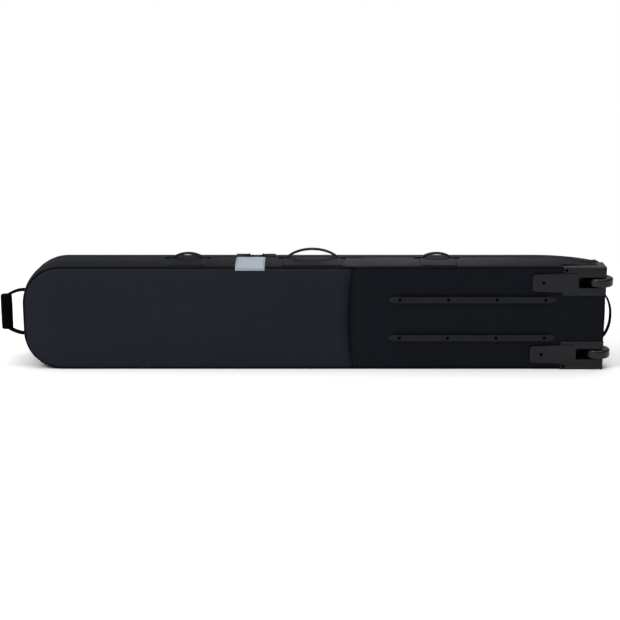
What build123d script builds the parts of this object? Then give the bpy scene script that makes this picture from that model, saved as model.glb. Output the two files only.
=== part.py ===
"""Wheeled snowboard bag, standing on its long narrow side.

+X runs towards the wheels, -Y is the skid-rail face and +Z is up. The origin lies on the
floor under the middle of the bag's body. Everything is in millimetres.
"""
import os
from math import asin, cos, radians, sin, sqrt

from build123d import *

os.makedirs("parts", exist_ok=True)

# Body of the bag
body_length = 1690.0
body_width = 306.0
body_depth = 170.0
tip_corner_radius = 112.0
tail_corner_radius = 22.0
end_wall_depth = 67.5
taper_length = 190.0

# Cloth and padding
gusset_thickness = 3.0
panel_thickness = 6.0
stiff_panel_thickness = 3.0
piping_radius = 2.5
seam_gap = 0.2
body_gap = 0.3
cut_over = 1.0

# Stiff half
stiff_length = 724.0
board_thickness = 3.0
board_margin = 5.4
pad_thickness = 5.0
pad_length = 590.0

# Front panel and zip
lip_depth = 35.0
lid_end_angle = 50.0
tape_width = 12.0
tape_thickness = 0.8
tape_stand_off = 0.05
coil_width = 4.0
coil_height = 2.2
zip_end_height = 34.0
slider_length = 24.0
slider_width = 13.0
slider_plate = 2.0
slider_lift = 1.2
slider_tip_x = -190.0
slider_spacing = 40.0
slider_coil_gap = 0.6
post_length = 4.0
post_thickness = 1.5
bail_span = 9.0
bail_radius = 1.0
bail_cover = 0.6
bail_clearance = 0.06
pull_length = 38.0
pull_width = 9.0
pull_thickness = 1.5
pull_eye_wall = 1.1
pull_eye_length = 6.0
pull_neck_length = 7.0

# Skid rails
rail_length = 486.0
rail_width = 22.0
rail_height = 9.0
rail_offset = 57.0
rail_tail_gap = 142.0
rail_draft = 12.0
rail_wedge_length = 33.0
rail_screw_margin = 32.0
rail_screws_each = 4
screw_radius = 2.5
screw_head_radius = 4.6
screw_head_height = 2.6
screw_hole_radius = 2.7
counterbore_clearance = 0.4
nut_radius = 4.6
nut_height = 4.0

# Wheels and their housings
wheel_radius = 38.0
wheel_width = 26.0
wheel_offset = 107.0
wheel_inset = 14.0
wheel_depth = 22.0
tread_depth = 11.0
well_clearance = 3.0
well_length = 79.0
housing_wall = 3.0
flange_length = 125.0
flange_width = 84.0
corner_screw_margin = 9.0
flange_thickness = 3.5
nose_length = 215.0
nose_width = 51.0
nose_root_width = 58.0
nose_height = 7.0
nose_draft = 10.0
nose_screw_gap = 181.0
wrap_depth = 24.0
axle_radius = 4.0
axle_clearance = 0.05
bearing_radius = 11.0
bearing_width = 7.0
bearing_clearance = 0.02
bearing_shoulder = 2.0
hub_windows = 5
spacer_wall = 1.8
axle_head_radius = 6.5
axle_head_height = 4.0

# Webbing handles
webbing_thickness = 2.0
webbing_width = 25.0
patch_thickness = 0.8
handle_y = 22.0
patch_margin = 14.0
bend_share = 0.9
short_loop_span = 80.0
short_loop_rise = 20.0
carry_span = 146.0
carry_rise = 31.0
carry_shift = -4.0
handle_spacing = 366.0
tip_handle_span = 133.0
tip_handle_reach = 64.0
tip_handle_y = 0.0
tip_grip_length = 104.0
tip_grip_width = 30.0
tip_grip_depth = 32.0
tip_grip_clearance = 0.2
tail_handle_span = 130.0
tail_handle_reach = 25.0
tail_handle_y = -46.0
tail_handle_width = 20.0

# Contrast patch and inside straps
contrast_x = -227.0
contrast_length = 85.0
strap_width = 25.0
strap_thickness = 1.5
strap_end_gap = 1.0
strap_places = (-420.0, 60.0)
buckle_length = 32.0
buckle_side = 4.0
buckle_thickness = 5.0
buckle_slot = 4.0
buckle_slot_pitch = 9.0
buckle_slot_clearance = 0.5

# Places that follow from the sizes
x_tip = -body_length / 2
x_tail = body_length / 2
y_back = -body_depth / 2
y_front = body_depth / 2
z_mid = body_width / 2
x_tip_straight = x_tip + tip_corner_radius
x_tail_straight = x_tail - tail_corner_radius
x_crease = x_tail - stiff_length
x_taper = x_tail - taper_length
taper_drop = body_depth - end_wall_depth
taper_radius = (taper_length**2 + taper_drop**2) / (2 * taper_drop)
y_taper_centre = y_front - taper_radius
y_end_wall = y_back + end_wall_depth
y_split = y_front - lip_depth
seam_inset = 2 * piping_radius + seam_gap
x_wheel = x_tail - wheel_inset
y_wheel = y_back + wheel_depth
x_flange = x_tail - flange_length
far = 2 * body_length


def face_plane(y):
    """The plane parallel to the back face at depth y, with X across and Z up."""
    return Plane.XZ.offset(-y)


def slab(x_range, y_range, z_range, mode=Mode.ADD):
    """A box between limits."""
    middle = [sum(limits) / 2 for limits in (x_range, y_range, z_range)]
    with Locations(tuple(middle)):
        Box(
            x_range[1] - x_range[0],
            y_range[1] - y_range[0],
            z_range[1] - z_range[0],
            mode=mode,
        )


def side_outline(inset, y, amount, mode=Mode.ADD):
    """Extrudes the bag's side outline, rounded at its four corners, from depth y."""
    with BuildSketch(face_plane(y)) as outline:
        with Locations((0, z_mid)):
            Rectangle(body_length - 2 * inset, body_width - 2 * inset)
        corners = outline.vertices().sort_by(Axis.X)
        fillet(corners[:2], tip_corner_radius - inset)
        fillet(corners[2:], tail_corner_radius - inset)
    extrude(outline.sketch, amount=-amount, mode=mode)


def plan_outline(inset, mode=Mode.ADD):
    """Extrudes the bag seen from above, with the front face curving in over the wheels."""
    radius = taper_radius - inset
    end_angle = asin((taper_length - inset) / radius)
    arc_end = (x_tail - inset, y_taper_centre + radius * cos(end_angle))
    arc_middle = (
        x_taper + radius * sin(end_angle / 2),
        y_taper_centre + radius * cos(end_angle / 2),
    )
    with BuildSketch(Plane.XY.offset(-far / 4)) as plan:
        with BuildLine():
            Polyline(
                arc_end,
                (x_tail - inset, y_back + inset),
                (x_tip + inset, y_back + inset),
                (x_tip + inset, y_front - inset),
                (x_taper, y_front - inset),
            )
            ThreePointArc((x_taper, y_front - inset), arc_middle, arc_end)
        make_face()
    extrude(plan.sketch, amount=far / 2, mode=mode)


def lid_region(shift, mode=Mode.INTERSECT):
    """Extrudes the part of the plan in front of the zip line, moved forward by shift."""
    radius = taper_radius - lip_depth + shift
    end_angle = radians(lid_end_angle) - shift / radius
    outer_radius = taper_radius + lip_depth

    def on_arc(distance, angle):
        return (x_taper + distance * sin(angle), y_taper_centre + distance * cos(angle))

    corner = on_arc(outer_radius, end_angle)
    with BuildSketch(Plane.XY.offset(-far / 4)) as region:
        with BuildLine():
            Polyline(
                on_arc(radius, end_angle),
                corner,
                (corner[0], y_front + lip_depth),
                (x_tip - lip_depth, y_front + lip_depth),
                (x_tip - lip_depth, y_split + shift),
                (x_taper, y_split + shift),
            )
            ThreePointArc(
                (x_taper, y_split + shift),
                on_arc(radius, end_angle / 2),
                on_arc(radius, end_angle),
            )
        make_face()
    extrude(region.sketch, amount=far / 2, mode=mode)


def bag_form(inset):
    """The bag's closed shape with every face moved in by inset."""
    with BuildPart() as form:
        plan_outline(inset)
        side_outline(inset, y_back - lip_depth, body_depth + 2 * lip_depth, Mode.INTERSECT)
    return form.part


def mirrored_pair(z):
    """The same height above the bottom and below the top."""
    return (z_mid + z, z_mid - z)


def finish(built, name):
    """Labels a piece and writes it."""
    built.part.label = name
    export_step(built.part, f"parts/{name}.step")


outer_form = bag_form(0.0)
inner_form = bag_form(gusset_thickness)

# Limits of the housings, which take the gusset's place at the two back corners
housing_x = x_flange - seam_gap
housing_y = y_back + wrap_depth + seam_gap
housing_low = flange_width + seam_gap
housing_high = body_width - housing_low
well_half = wheel_width / 2 + well_clearance
well_x = x_tail - well_length
well_y = y_wheel + wheel_radius + well_clearance
well_outer_half = well_half + housing_wall
well_outer_x = well_x - housing_wall
well_outer_y = well_y + housing_wall

rail_x_end = x_tail - rail_tail_gap
rail_x_start = rail_x_end - rail_length
rail_screw_pitch = (rail_length - 2 * rail_screw_margin) / (rail_screws_each - 1)
rail_screw_points = [
    (rail_x_start + rail_screw_margin + step * rail_screw_pitch, z)
    for z in mirrored_pair(rail_offset)
    for step in range(rail_screws_each)
]
nose_screw_points = [(x_tail - nose_screw_gap, z) for z in mirrored_pair(wheel_offset)]
corner_screw_points = [
    (x_flange + corner_screw_margin, z) for z in mirrored_pair(z_mid - corner_screw_margin)
]
housing_screw_points = nose_screw_points + corner_screw_points
all_screw_points = rail_screw_points + housing_screw_points
y_board = y_back + stiff_panel_thickness + seam_gap
y_board_inside = y_board + board_thickness
y_nut_end = y_board_inside + nut_height
y_pad_inside = y_board_inside + seam_gap + pad_thickness

# ---------------------------------------------------------------- walls of the bag

# Padded back panel of the tip half
with BuildPart() as back_panel_soft:
    side_outline(seam_inset, y_back, panel_thickness)
    slab((x_crease - seam_inset / 2, far), (-far, far), (-far, far), Mode.SUBTRACT)
finish(back_panel_soft, "back_panel_soft")


def cut_wells(y_range, gap):
    """Opens both wheel wells through the current part."""
    for z in mirrored_pair(wheel_offset):
        slab(
            (well_outer_x - gap, far),
            y_range,
            (z - well_outer_half - gap, z + well_outer_half + gap),
            Mode.SUBTRACT,
        )


def screw_holes(points, radius, y_from, y_to):
    """Drills round holes in the current part, between two depths."""
    with BuildSketch(face_plane(y_from)) as holes:
        with Locations(*points):
            Circle(radius)
    extrude(holes.sketch, amount=y_from - y_to, mode=Mode.SUBTRACT)


# Back panel of the wheel half, cut out for the wells and drilled for the screws
with BuildPart() as back_panel_stiff:
    side_outline(seam_inset, y_back, stiff_panel_thickness)
    slab((-far, x_crease + seam_inset / 2), (-far, far), (-far, far), Mode.SUBTRACT)
    for low, high in ((-far, housing_low), (housing_high, far)):
        slab((x_tail - 2 * seam_inset, far), (-far, far), (low, high), Mode.SUBTRACT)
    cut_wells((-far, far), seam_gap)
    screw_holes(all_screw_points, screw_hole_radius, y_back - cut_over, y_board)
finish(back_panel_stiff, "back_panel_stiff")

# Piping that covers the seam between the two back panels
with BuildPart() as crease_piping:
    with BuildSketch(Plane.XY.offset(seam_inset)):
        with Locations((x_crease, y_back + piping_radius)):
            Circle(piping_radius)
    extrude(amount=body_width - 2 * seam_inset)
finish(crease_piping, "crease_piping")

# Piping round the back seam: the long run, and the short run between the housings
with BuildPart() as back_piping:
    bead = piping_radius
    corner_side = tip_corner_radius * (1 - sqrt(0.5))
    inner_side = corner_side + bead * sqrt(0.5)
    with BuildLine(face_plane(y_back + bead)):
        top_start = (housing_x, body_width - bead)
        Line(top_start, (x_tip_straight, body_width - bead))
        ThreePointArc(
            (x_tip_straight, body_width - bead),
            (x_tip + inner_side, body_width - inner_side),
            (x_tip + bead, body_width - tip_corner_radius),
        )
        Line((x_tip + bead, body_width - tip_corner_radius), (x_tip + bead, tip_corner_radius))
        ThreePointArc(
            (x_tip + bead, tip_corner_radius),
            (x_tip + inner_side, inner_side),
            (x_tip_straight, bead),
        )
        Line((x_tip_straight, bead), (housing_x, bead))
    with BuildSketch(Plane.YZ.offset(housing_x)):
        with Locations((y_back + bead, body_width - bead)):
            Circle(bead)
    sweep()
    with BuildSketch(Plane.XY.offset(housing_low)):
        with Locations((x_tail - bead, y_back + bead)):
            Circle(bead)
    extrude(amount=housing_high - housing_low)
finish(back_piping, "back_piping")


def gusset_walls():
    """The bag's side walls behind the zip line, clear of the back piping."""
    add(outer_form)
    add(inner_form, mode=Mode.SUBTRACT)
    slab((-far, far), (-far, y_back + seam_inset), (-far, far), Mode.SUBTRACT)


def clear_housings():
    """Takes away the back corners that the housings fill."""
    for low, high in ((-far, housing_low), (housing_high, far)):
        slab(
            (x_tail_straight - seam_gap, far),
            (-far, y_end_wall + seam_gap),
            (low, high),
            Mode.SUBTRACT,
        )
        slab((housing_x, far), (-far, housing_y), (low, high), Mode.SUBTRACT)


# Top gusset, with the handles and the bag's half of the zip
with BuildPart() as gusset_top:
    gusset_walls()
    lid_region(-body_gap / 2, Mode.SUBTRACT)
    clear_housings()
    slab(
        (x_tip_straight + seam_gap / 2, far),
        (-far, far),
        (body_width - tail_corner_radius + seam_gap / 2, far),
        Mode.INTERSECT,
    )
finish(gusset_top, "gusset_top")

# Bottom gusset, which the bag rests on and which the front panel is sewn to
with BuildPart() as gusset_bottom:
    gusset_walls()
    plan_outline(seam_inset, Mode.INTERSECT)
    slab((x_tail - seam_inset, far), (-far, far), (-far, far), Mode.SUBTRACT)
    clear_housings()
    slab(
        (x_tip_straight + seam_gap / 2, far),
        (-far, far),
        (-far, tail_corner_radius - seam_gap / 2),
        Mode.INTERSECT,
    )
finish(gusset_bottom, "gusset_bottom")

# Tip gusset: the end wall and its two big corners
with BuildPart() as gusset_tip:
    gusset_walls()
    lid_region(-body_gap / 2, Mode.SUBTRACT)
    slab((-far, x_tip_straight - seam_gap / 2), (-far, far), (-far, far), Mode.INTERSECT)
finish(gusset_tip, "gusset_tip")

# Tail gusset: the end wall between the housings and the strip in front of them
with BuildPart() as gusset_tail:
    gusset_walls()
    lid_region(-body_gap / 2, Mode.SUBTRACT)
    clear_housings()
    slab(
        (x_taper, far),
        (-far, far),
        (tail_corner_radius + seam_gap / 2, body_width - tail_corner_radius - seam_gap / 2),
        Mode.INTERSECT,
    )
finish(gusset_tail, "gusset_tail")

# ---------------------------------------------------------------- stiffener inside the wheel half

# Base board that the rails and housings are screwed to
with BuildPart() as base_board:
    side_outline(board_margin, y_board, board_thickness)
    slab((-far, x_crease + board_margin), (-far, far), (-far, far), Mode.SUBTRACT)
    cut_wells((-far, far), seam_gap)
    screw_holes(all_screw_points, screw_hole_radius, y_board - cut_over, y_nut_end)
finish(base_board, "base_board")

# Foam pad over the board and its nuts
with BuildPart() as base_pad:
    slab(
        (x_crease + board_margin, x_crease + board_margin + pad_length),
        (y_board_inside + seam_gap, y_pad_inside),
        (board_margin, body_width - board_margin),
    )
    screw_holes(all_screw_points, 2 * nut_radius, y_board_inside, y_pad_inside + cut_over)
finish(base_pad, "base_pad")

# ---------------------------------------------------------------- skid rails

y_rail_top = y_back - seam_gap - rail_height


def skid_rail(z):
    """One rail with sloping sides, wedge ends and counterbored holes."""
    half = rail_width / 2
    wedge = rail_wedge_length
    with BuildPart() as rail:
        with BuildSketch(face_plane(y_back - seam_gap)):
            with BuildLine():
                Polyline(
                    (rail_x_start, z - half / 2),
                    (rail_x_start + wedge / 2, z - half),
                    (rail_x_end - wedge / 2, z - half),
                    (rail_x_end, z - half / 2),
                    (rail_x_end, z + half / 2),
                    (rail_x_end - wedge / 2, z + half),
                    (rail_x_start + wedge / 2, z + half),
                    (rail_x_start, z + half / 2),
                    close=True,
                )
            make_face()
        extrude(amount=rail_height, taper=rail_draft)
        for x_end, towards in ((rail_x_start, 1), (rail_x_end, -1)):
            with BuildSketch(Plane.XY.offset(z - rail_width)):
                with BuildLine():
                    Polyline(
                        (x_end - towards * cut_over, y_back - seam_gap - 2 * cut_over),
                        (x_end + towards * wedge, y_rail_top),
                        (x_end - towards * cut_over, y_rail_top - cut_over),
                        close=True,
                    )
                make_face()
            extrude(amount=2 * rail_width, mode=Mode.SUBTRACT)
        own_points = [point for point in rail_screw_points if point[1] == z]
        screw_holes(own_points, screw_hole_radius, y_rail_top - cut_over, y_back + cut_over)
        screw_holes(
            own_points,
            screw_head_radius + counterbore_clearance,
            y_rail_top - cut_over,
            y_rail_top + screw_head_height,
        )
    return rail


rail_upper = skid_rail(z_mid + rail_offset)
finish(rail_upper, "skid_rail_upper")
rail_lower = skid_rail(z_mid - rail_offset)
finish(rail_lower, "skid_rail_lower")


def machine_screws(points, y_head):
    """Pan-head screws with a cross slot, each long enough to pass through its nut."""
    with BuildPart() as screws:
        with BuildSketch(face_plane(y_head)):
            with Locations(*points):
                Circle(screw_head_radius)
        extrude(amount=-screw_head_height)
        fillet(
            screws.faces().filter_by(Axis.Y).group_by(Axis.Y)[0].edges(),
            screw_head_height / 3,
        )
        with BuildSketch(face_plane(y_head)):
            with Locations(*points):
                Rectangle(screw_head_radius, screw_radius / 3)
                Rectangle(screw_radius / 3, screw_head_radius)
        extrude(amount=-screw_head_height / 2, mode=Mode.SUBTRACT)
        with BuildSketch(face_plane(y_head + screw_head_height)):
            with Locations(*points):
                Circle(screw_radius)
        extrude(amount=-(y_nut_end - y_head - screw_head_height))
    return screws


def lock_nuts(points):
    """Hexagon nuts on the inside of the base board."""
    with BuildPart() as nuts:
        with BuildSketch(face_plane(y_board_inside)):
            with Locations(*points):
                RegularPolygon(nut_radius, 6)
                Circle(screw_radius, mode=Mode.SUBTRACT)
        extrude(amount=-nut_height)
    return nuts


rail_screws = machine_screws(rail_screw_points, y_rail_top)
finish(rail_screws, "rail_screws")
rail_nuts = lock_nuts(rail_screw_points)
finish(rail_nuts, "rail_nuts")

# ---------------------------------------------------------------- wheel housings

y_flange = y_back - seam_gap
y_flange_top = y_flange - flange_thickness
y_nose_top = y_flange - nose_height


def wheel_housing():
    """The upper housing: corner shell, flange, tapered nose, wheel well and axle bosses."""
    z_wheel = z_mid + wheel_offset
    z_low = body_width - flange_width
    x_nose = x_tail - nose_length
    with BuildPart() as housing:
        # corner shell in line with the bag's walls
        add(outer_form)
        slab(
            (x_flange, far),
            (-far, y_end_wall),
            (z_low, far),
            Mode.INTERSECT,
        )
        side_outline(housing_wall, -far / 4, far / 2, Mode.SUBTRACT)
        slab((-far, x_tail_straight), (y_back + wrap_depth, far), (-far, far), Mode.SUBTRACT)
        # back flange
        side_outline(0.0, y_flange_top, flange_thickness + seam_gap)
        slab(
            (x_nose, far),
            (-far, far),
            (z_low, far),
            Mode.INTERSECT,
        )
        slab(
            (-far, x_flange),
            (-far, far),
            (-far, far),
            Mode.SUBTRACT,
        )
        # nose, raised over the flange
        with BuildSketch(face_plane(y_flange)) as nose:
            with BuildLine():
                Polyline(
                    (x_nose, z_wheel - nose_width / 2),
                    (x_flange, z_wheel - nose_root_width / 2),
                    (well_outer_x, z_wheel - nose_root_width / 2),
                    (well_outer_x, z_wheel + nose_root_width / 2),
                    (x_flange, z_wheel + nose_root_width / 2),
                    (x_nose, z_wheel + nose_width / 2),
                    close=True,
                )
            make_face()
            fillet(nose.vertices().sort_by(Axis.X)[:2], nose_width / 5)
        extrude(amount=nose_height, taper=nose_draft)
        # wheel well
        slab(
            (well_outer_x, x_tail),
            (y_flange_top, well_outer_y),
            (z_wheel - well_outer_half, z_wheel + well_outer_half),
        )
        slab(
            (well_x, far),
            (-far, well_y),
            (z_wheel - well_half, z_wheel + well_half),
            Mode.SUBTRACT,
        )
        # axle holes through both cheeks
        with Locations((x_wheel, y_wheel, z_wheel)):
            Cylinder(axle_radius + axle_clearance, 3 * wheel_width, mode=Mode.SUBTRACT)
        own_points = [point for point in housing_screw_points if point[1] > z_mid]
        screw_holes(own_points, screw_hole_radius, y_nose_top - cut_over, y_board)
    return housing


housing_upper = wheel_housing()
finish(housing_upper, "wheel_housing_upper")
with BuildPart() as housing_lower:
    mirror(housing_upper.part, about=Plane.XY.offset(z_mid), mode=Mode.ADD)
finish(housing_lower, "wheel_housing_lower")

with BuildPart() as housing_screws:
    add(machine_screws(nose_screw_points, y_nose_top - screw_head_height).part)
    add(machine_screws(corner_screw_points, y_flange_top - screw_head_height).part)
finish(housing_screws, "housing_screws")
housing_nuts = lock_nuts(housing_screw_points)
finish(housing_nuts, "housing_nuts")

# ---------------------------------------------------------------- wheels

for place, z_wheel in zip(("upper", "lower"), mirrored_pair(wheel_offset)):
    wheel_origin = Plane.XY.offset(z_wheel - wheel_width / 2).move(Location((x_wheel, y_wheel, 0)))
    hub_radius = wheel_radius - tread_depth

    # Axle: a pin with a head, through both cheeks of the housing
    with BuildPart() as axle:
        with Locations((x_wheel, y_wheel, z_wheel)):
            Cylinder(axle_radius, 2 * well_outer_half + axle_head_height)
            for side in (1, -1):
                with Locations((0, 0, side * (well_outer_half + body_gap + axle_head_height / 2))):
                    Cylinder(axle_head_radius, axle_head_height)
    finish(axle, f"axle_{place}")

    # Tyre with a rounded tread
    with BuildPart() as tyre:
        with BuildSketch(wheel_origin):
            Circle(wheel_radius)
            Circle(hub_radius, mode=Mode.SUBTRACT)
        extrude(amount=wheel_width)
        fillet(tyre.edges().filter_by(GeomType.CIRCLE).group_by(SortBy.RADIUS)[-1], wheel_width / 4)
    finish(tyre, f"tyre_{place}")

    # Hub with a web, windows and seats for two bearings
    with BuildPart() as hub:
        with BuildSketch(wheel_origin):
            Circle(hub_radius)
            Circle(bearing_radius, mode=Mode.SUBTRACT)
            with PolarLocations((hub_radius + bearing_radius) / 2, hub_windows):
                Circle((hub_radius - bearing_radius) / 4, mode=Mode.SUBTRACT)
        extrude(amount=wheel_width)
        with BuildSketch(wheel_origin.offset(bearing_width)):
            Circle(bearing_radius)
            Circle(bearing_radius - bearing_shoulder, mode=Mode.SUBTRACT)
        extrude(amount=wheel_width - 2 * bearing_width)
    finish(hub, f"hub_{place}")

    # The two bearings, flush with the hub's faces
    with BuildPart() as bearings:
        for start in (0, wheel_width - bearing_width):
            with BuildSketch(wheel_origin.offset(start)):
                Circle(bearing_radius - bearing_clearance)
                Circle(axle_radius + axle_clearance, mode=Mode.SUBTRACT)
            extrude(amount=bearing_width)
    finish(bearings, f"bearings_{place}")

    # Spacers that keep the wheel in the middle of its well
    with BuildPart() as spacers:
        for start, length in (
            (bearing_width + seam_gap, wheel_width - 2 * (bearing_width + seam_gap)),
            (wheel_width + body_gap, well_clearance - body_gap),
            (-well_clearance, well_clearance - body_gap),
        ):
            with BuildSketch(wheel_origin.offset(start)):
                Circle(axle_radius + spacer_wall)
                Circle(axle_radius + axle_clearance, mode=Mode.SUBTRACT)
            extrude(amount=length)
    finish(spacers, f"spacers_{place}")

# ---------------------------------------------------------------- front panel

y_hinge = y_front - piping_radius

# Front panel, curving in over the wheel end
with BuildPart() as lid_panel:
    plan_outline(0.0)
    plan_outline(panel_thickness, Mode.SUBTRACT)
    lid_region(body_gap / 2)
    slab((-far, far), (-far, far), (0, body_width), Mode.INTERSECT)
    side_outline(seam_inset, -far / 4, far / 2, Mode.INTERSECT)
    slab((-far, x_taper), (-far, y_front - panel_thickness), (-far, far), Mode.SUBTRACT)
finish(lid_panel, "lid_panel")


def lip_walls():
    """The gusset in front of the zip line, clear of the front piping."""
    add(outer_form)
    add(inner_form, mode=Mode.SUBTRACT)
    plan_outline(seam_inset, Mode.INTERSECT)
    lid_region(body_gap / 2)


# Lip of the front panel along the top
with BuildPart() as lid_lip_top:
    lip_walls()
    slab(
        (x_tip_straight + seam_gap / 2, far),
        (-far, far),
        (body_width - tail_corner_radius, far),
        Mode.INTERSECT,
    )
finish(lid_lip_top, "lid_lip_top")

# Lip of the front panel round the tip
with BuildPart() as lid_lip_tip:
    add(outer_form)
    add(inner_form, mode=Mode.SUBTRACT)
    slab((-far, far), (y_front - seam_inset, far), (-far, far), Mode.SUBTRACT)
    lid_region(body_gap / 2)
    slab((-far, x_tip_straight - seam_gap / 2), (-far, far), (-far, far), Mode.INTERSECT)
finish(lid_lip_tip, "lid_lip_tip")

# Piping round the front seam; its straight bottom run lies on the hinge line
with BuildPart() as front_piping:
    bead = piping_radius
    bead_arc = taper_radius - bead
    end_angle = radians(lid_end_angle) - piping_radius / bead_arc
    arc_end = (x_taper + bead_arc * sin(end_angle), y_taper_centre + bead_arc * cos(end_angle))
    arc_middle = (
        x_taper + bead_arc * sin(end_angle / 2),
        y_taper_centre + bead_arc * cos(end_angle / 2),
    )
    with BuildLine():
        ThreePointArc(
            (*arc_end, body_width - bead),
            (*arc_middle, body_width - bead),
            (x_taper, y_hinge, body_width - bead),
        )
        Line((x_taper, y_hinge, body_width - bead), (x_tip_straight, y_hinge, body_width - bead))
        ThreePointArc(
            (x_tip_straight, y_hinge, body_width - bead),
            (x_tip + inner_side, y_hinge, body_width - inner_side),
            (x_tip + bead, y_hinge, body_width - tip_corner_radius),
        )
        Line(
            (x_tip + bead, y_hinge, body_width - tip_corner_radius),
            (x_tip + bead, y_hinge, tip_corner_radius),
        )
        ThreePointArc(
            (x_tip + bead, y_hinge, tip_corner_radius),
            (x_tip + inner_side, y_hinge, inner_side),
            (x_tip_straight, y_hinge, bead),
        )
        Line((x_tip_straight, y_hinge, bead), (x_taper, y_hinge, bead))
        ThreePointArc(
            (x_taper, y_hinge, bead),
            (*arc_middle, bead),
            (*arc_end, bead),
        )
    start_plane = Plane(
        origin=(*arc_end, body_width - bead),
        z_dir=(-cos(end_angle), sin(end_angle), 0),
    )
    with BuildSketch(start_plane):
        Circle(bead)
    sweep()
finish(front_piping, "front_piping")


def zip_band(low, thick, inner_shift, outer_shift):
    """A strip along the zip line, standing on the walls between two heights."""
    add(bag_form(-(low + thick)))
    add(bag_form(-low), mode=Mode.SUBTRACT)
    lid_region(inner_shift)
    lid_region(outer_shift, Mode.SUBTRACT)
    slab((-far, far), (-far, far), (zip_end_height, far), Mode.INTERSECT)
    slab((x_tail - tail_corner_radius, far), (-far, y_end_wall), (-far, far), Mode.SUBTRACT)


half_gap = body_gap / 2
tape_low = tape_stand_off
coil_low = tape_low + tape_thickness + tape_stand_off

with BuildPart() as zip_tape_bag:
    zip_band(tape_low, tape_thickness, -tape_width, -half_gap)
finish(zip_tape_bag, "zip_tape_bag")

with BuildPart() as zip_tape_lid:
    zip_band(tape_low, tape_thickness, half_gap, tape_width)
finish(zip_tape_lid, "zip_tape_lid")

with BuildPart() as zip_coil_bag:
    zip_band(coil_low, coil_height, -coil_width, -half_gap)
finish(zip_coil_bag, "zip_coil_bag")

with BuildPart() as zip_coil_lid:
    zip_band(coil_low, coil_height, half_gap, coil_width)
finish(zip_coil_lid, "zip_coil_lid")

# ---------------------------------------------------------------- zip sliders and pulls

coil_top = body_width + coil_low + coil_height
plate_low = coil_top + slider_lift
plate_high = plate_low + slider_plate
eye_radius = bail_radius + bail_clearance + pull_eye_wall
z_bail = plate_high + eye_radius + body_gap

for place, towards, x_slider in (
    ("tip", -1, slider_tip_x),
    ("tail", 1, slider_tip_x + slider_spacing),
):
    # Slider: a plate over both coils with one flange, open towards the front panel
    with BuildPart() as slider:
        slab(
            (x_slider - slider_length / 2, x_slider + slider_length / 2),
            (y_split - slider_width / 2, y_split + slider_width / 2),
            (plate_low, plate_high),
        )
        fillet(slider.edges().filter_by(Axis.Z), slider_width / 4)
        slab(
            (x_slider - slider_length / 3, x_slider + slider_length / 3),
            (y_split - slider_width / 2, y_split - coil_width - slider_coil_gap),
            (body_width + tape_low + tape_thickness + body_gap, plate_low),
        )
        for side in (-1, 1):
            y_post = y_split + side * bail_span / 2
            slab(
                (x_slider - post_length / 2, x_slider + post_length / 2),
                (y_post - post_thickness / 2, y_post + post_thickness / 2),
                (plate_high, z_bail + bail_radius + bail_cover),
            )
        with BuildSketch(face_plane(y_split - bail_span / 2)):
            with Locations((x_slider, z_bail)):
                Circle(bail_radius)
        extrude(amount=-bail_span)
    finish(slider, f"zip_slider_{place}")

    # Pull tab on the slider's bail
    with BuildPart() as pull:
        with BuildSketch(face_plane(y_split - pull_eye_length / 2)):
            with Locations((x_slider, z_bail)):
                Circle(eye_radius)
        extrude(amount=-pull_eye_length)
        slab(
            sorted((x_slider, x_slider + towards * pull_neck_length)),
            (y_split - pull_eye_length / 2, y_split + pull_eye_length / 2),
            (z_bail - pull_thickness / 2, z_bail + pull_thickness / 2),
        )
        slab(
            sorted((x_slider + towards * 2 * eye_radius, x_slider + towards * pull_length)),
            (y_split - pull_width / 2, y_split + pull_width / 2),
            (z_bail - pull_thickness / 2, z_bail + pull_thickness / 2),
        )
        with BuildSketch(face_plane(y_split - pull_eye_length)):
            with Locations((x_slider, z_bail)):
                Circle(bail_radius + bail_clearance)
        extrude(amount=-2 * pull_eye_length, mode=Mode.SUBTRACT)
    finish(pull, f"zip_pull_{place}")

# ---------------------------------------------------------------- webbing handles on the top gusset

z_patch_top = body_width + patch_thickness
leg_radius = webbing_width / 2
z_swing = z_patch_top + leg_radius + body_gap


def top_handle(x_middle, span, rise):
    """A webbing arch whose two legs end in half rounds about the swing line."""
    z_top = z_patch_top + rise
    bend = (rise - leg_radius) * bend_share
    with BuildPart() as handle:
        with BuildSketch(face_plane(handle_y - leg_radius)) as arch:
            with BuildLine():
                Polyline(
                    (x_middle - span / 2, z_patch_top),
                    (x_middle - span / 2, z_top),
                    (x_middle + span / 2, z_top),
                    (x_middle + span / 2, z_patch_top),
                    (x_middle + span / 2 - webbing_thickness, z_patch_top),
                    (x_middle + span / 2 - webbing_thickness, z_top - webbing_thickness),
                    (x_middle - span / 2 + webbing_thickness, z_top - webbing_thickness),
                    (x_middle - span / 2 + webbing_thickness, z_patch_top),
                    close=True,
                )
            make_face()
            upper = arch.vertices().group_by(Axis.Y)
            fillet(upper[-2], bend - webbing_thickness)
            fillet(arch.vertices().group_by(Axis.Y)[-1], bend)
        extrude(amount=-webbing_width)
        with BuildSketch(Plane.YZ.offset(x_middle - span)):
            with Locations((handle_y, z_swing)):
                Circle(leg_radius)
            with Locations((handle_y, z_swing + rise)):
                Rectangle(webbing_width, 2 * rise)
        extrude(amount=2 * span, mode=Mode.INTERSECT)
    return handle


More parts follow.
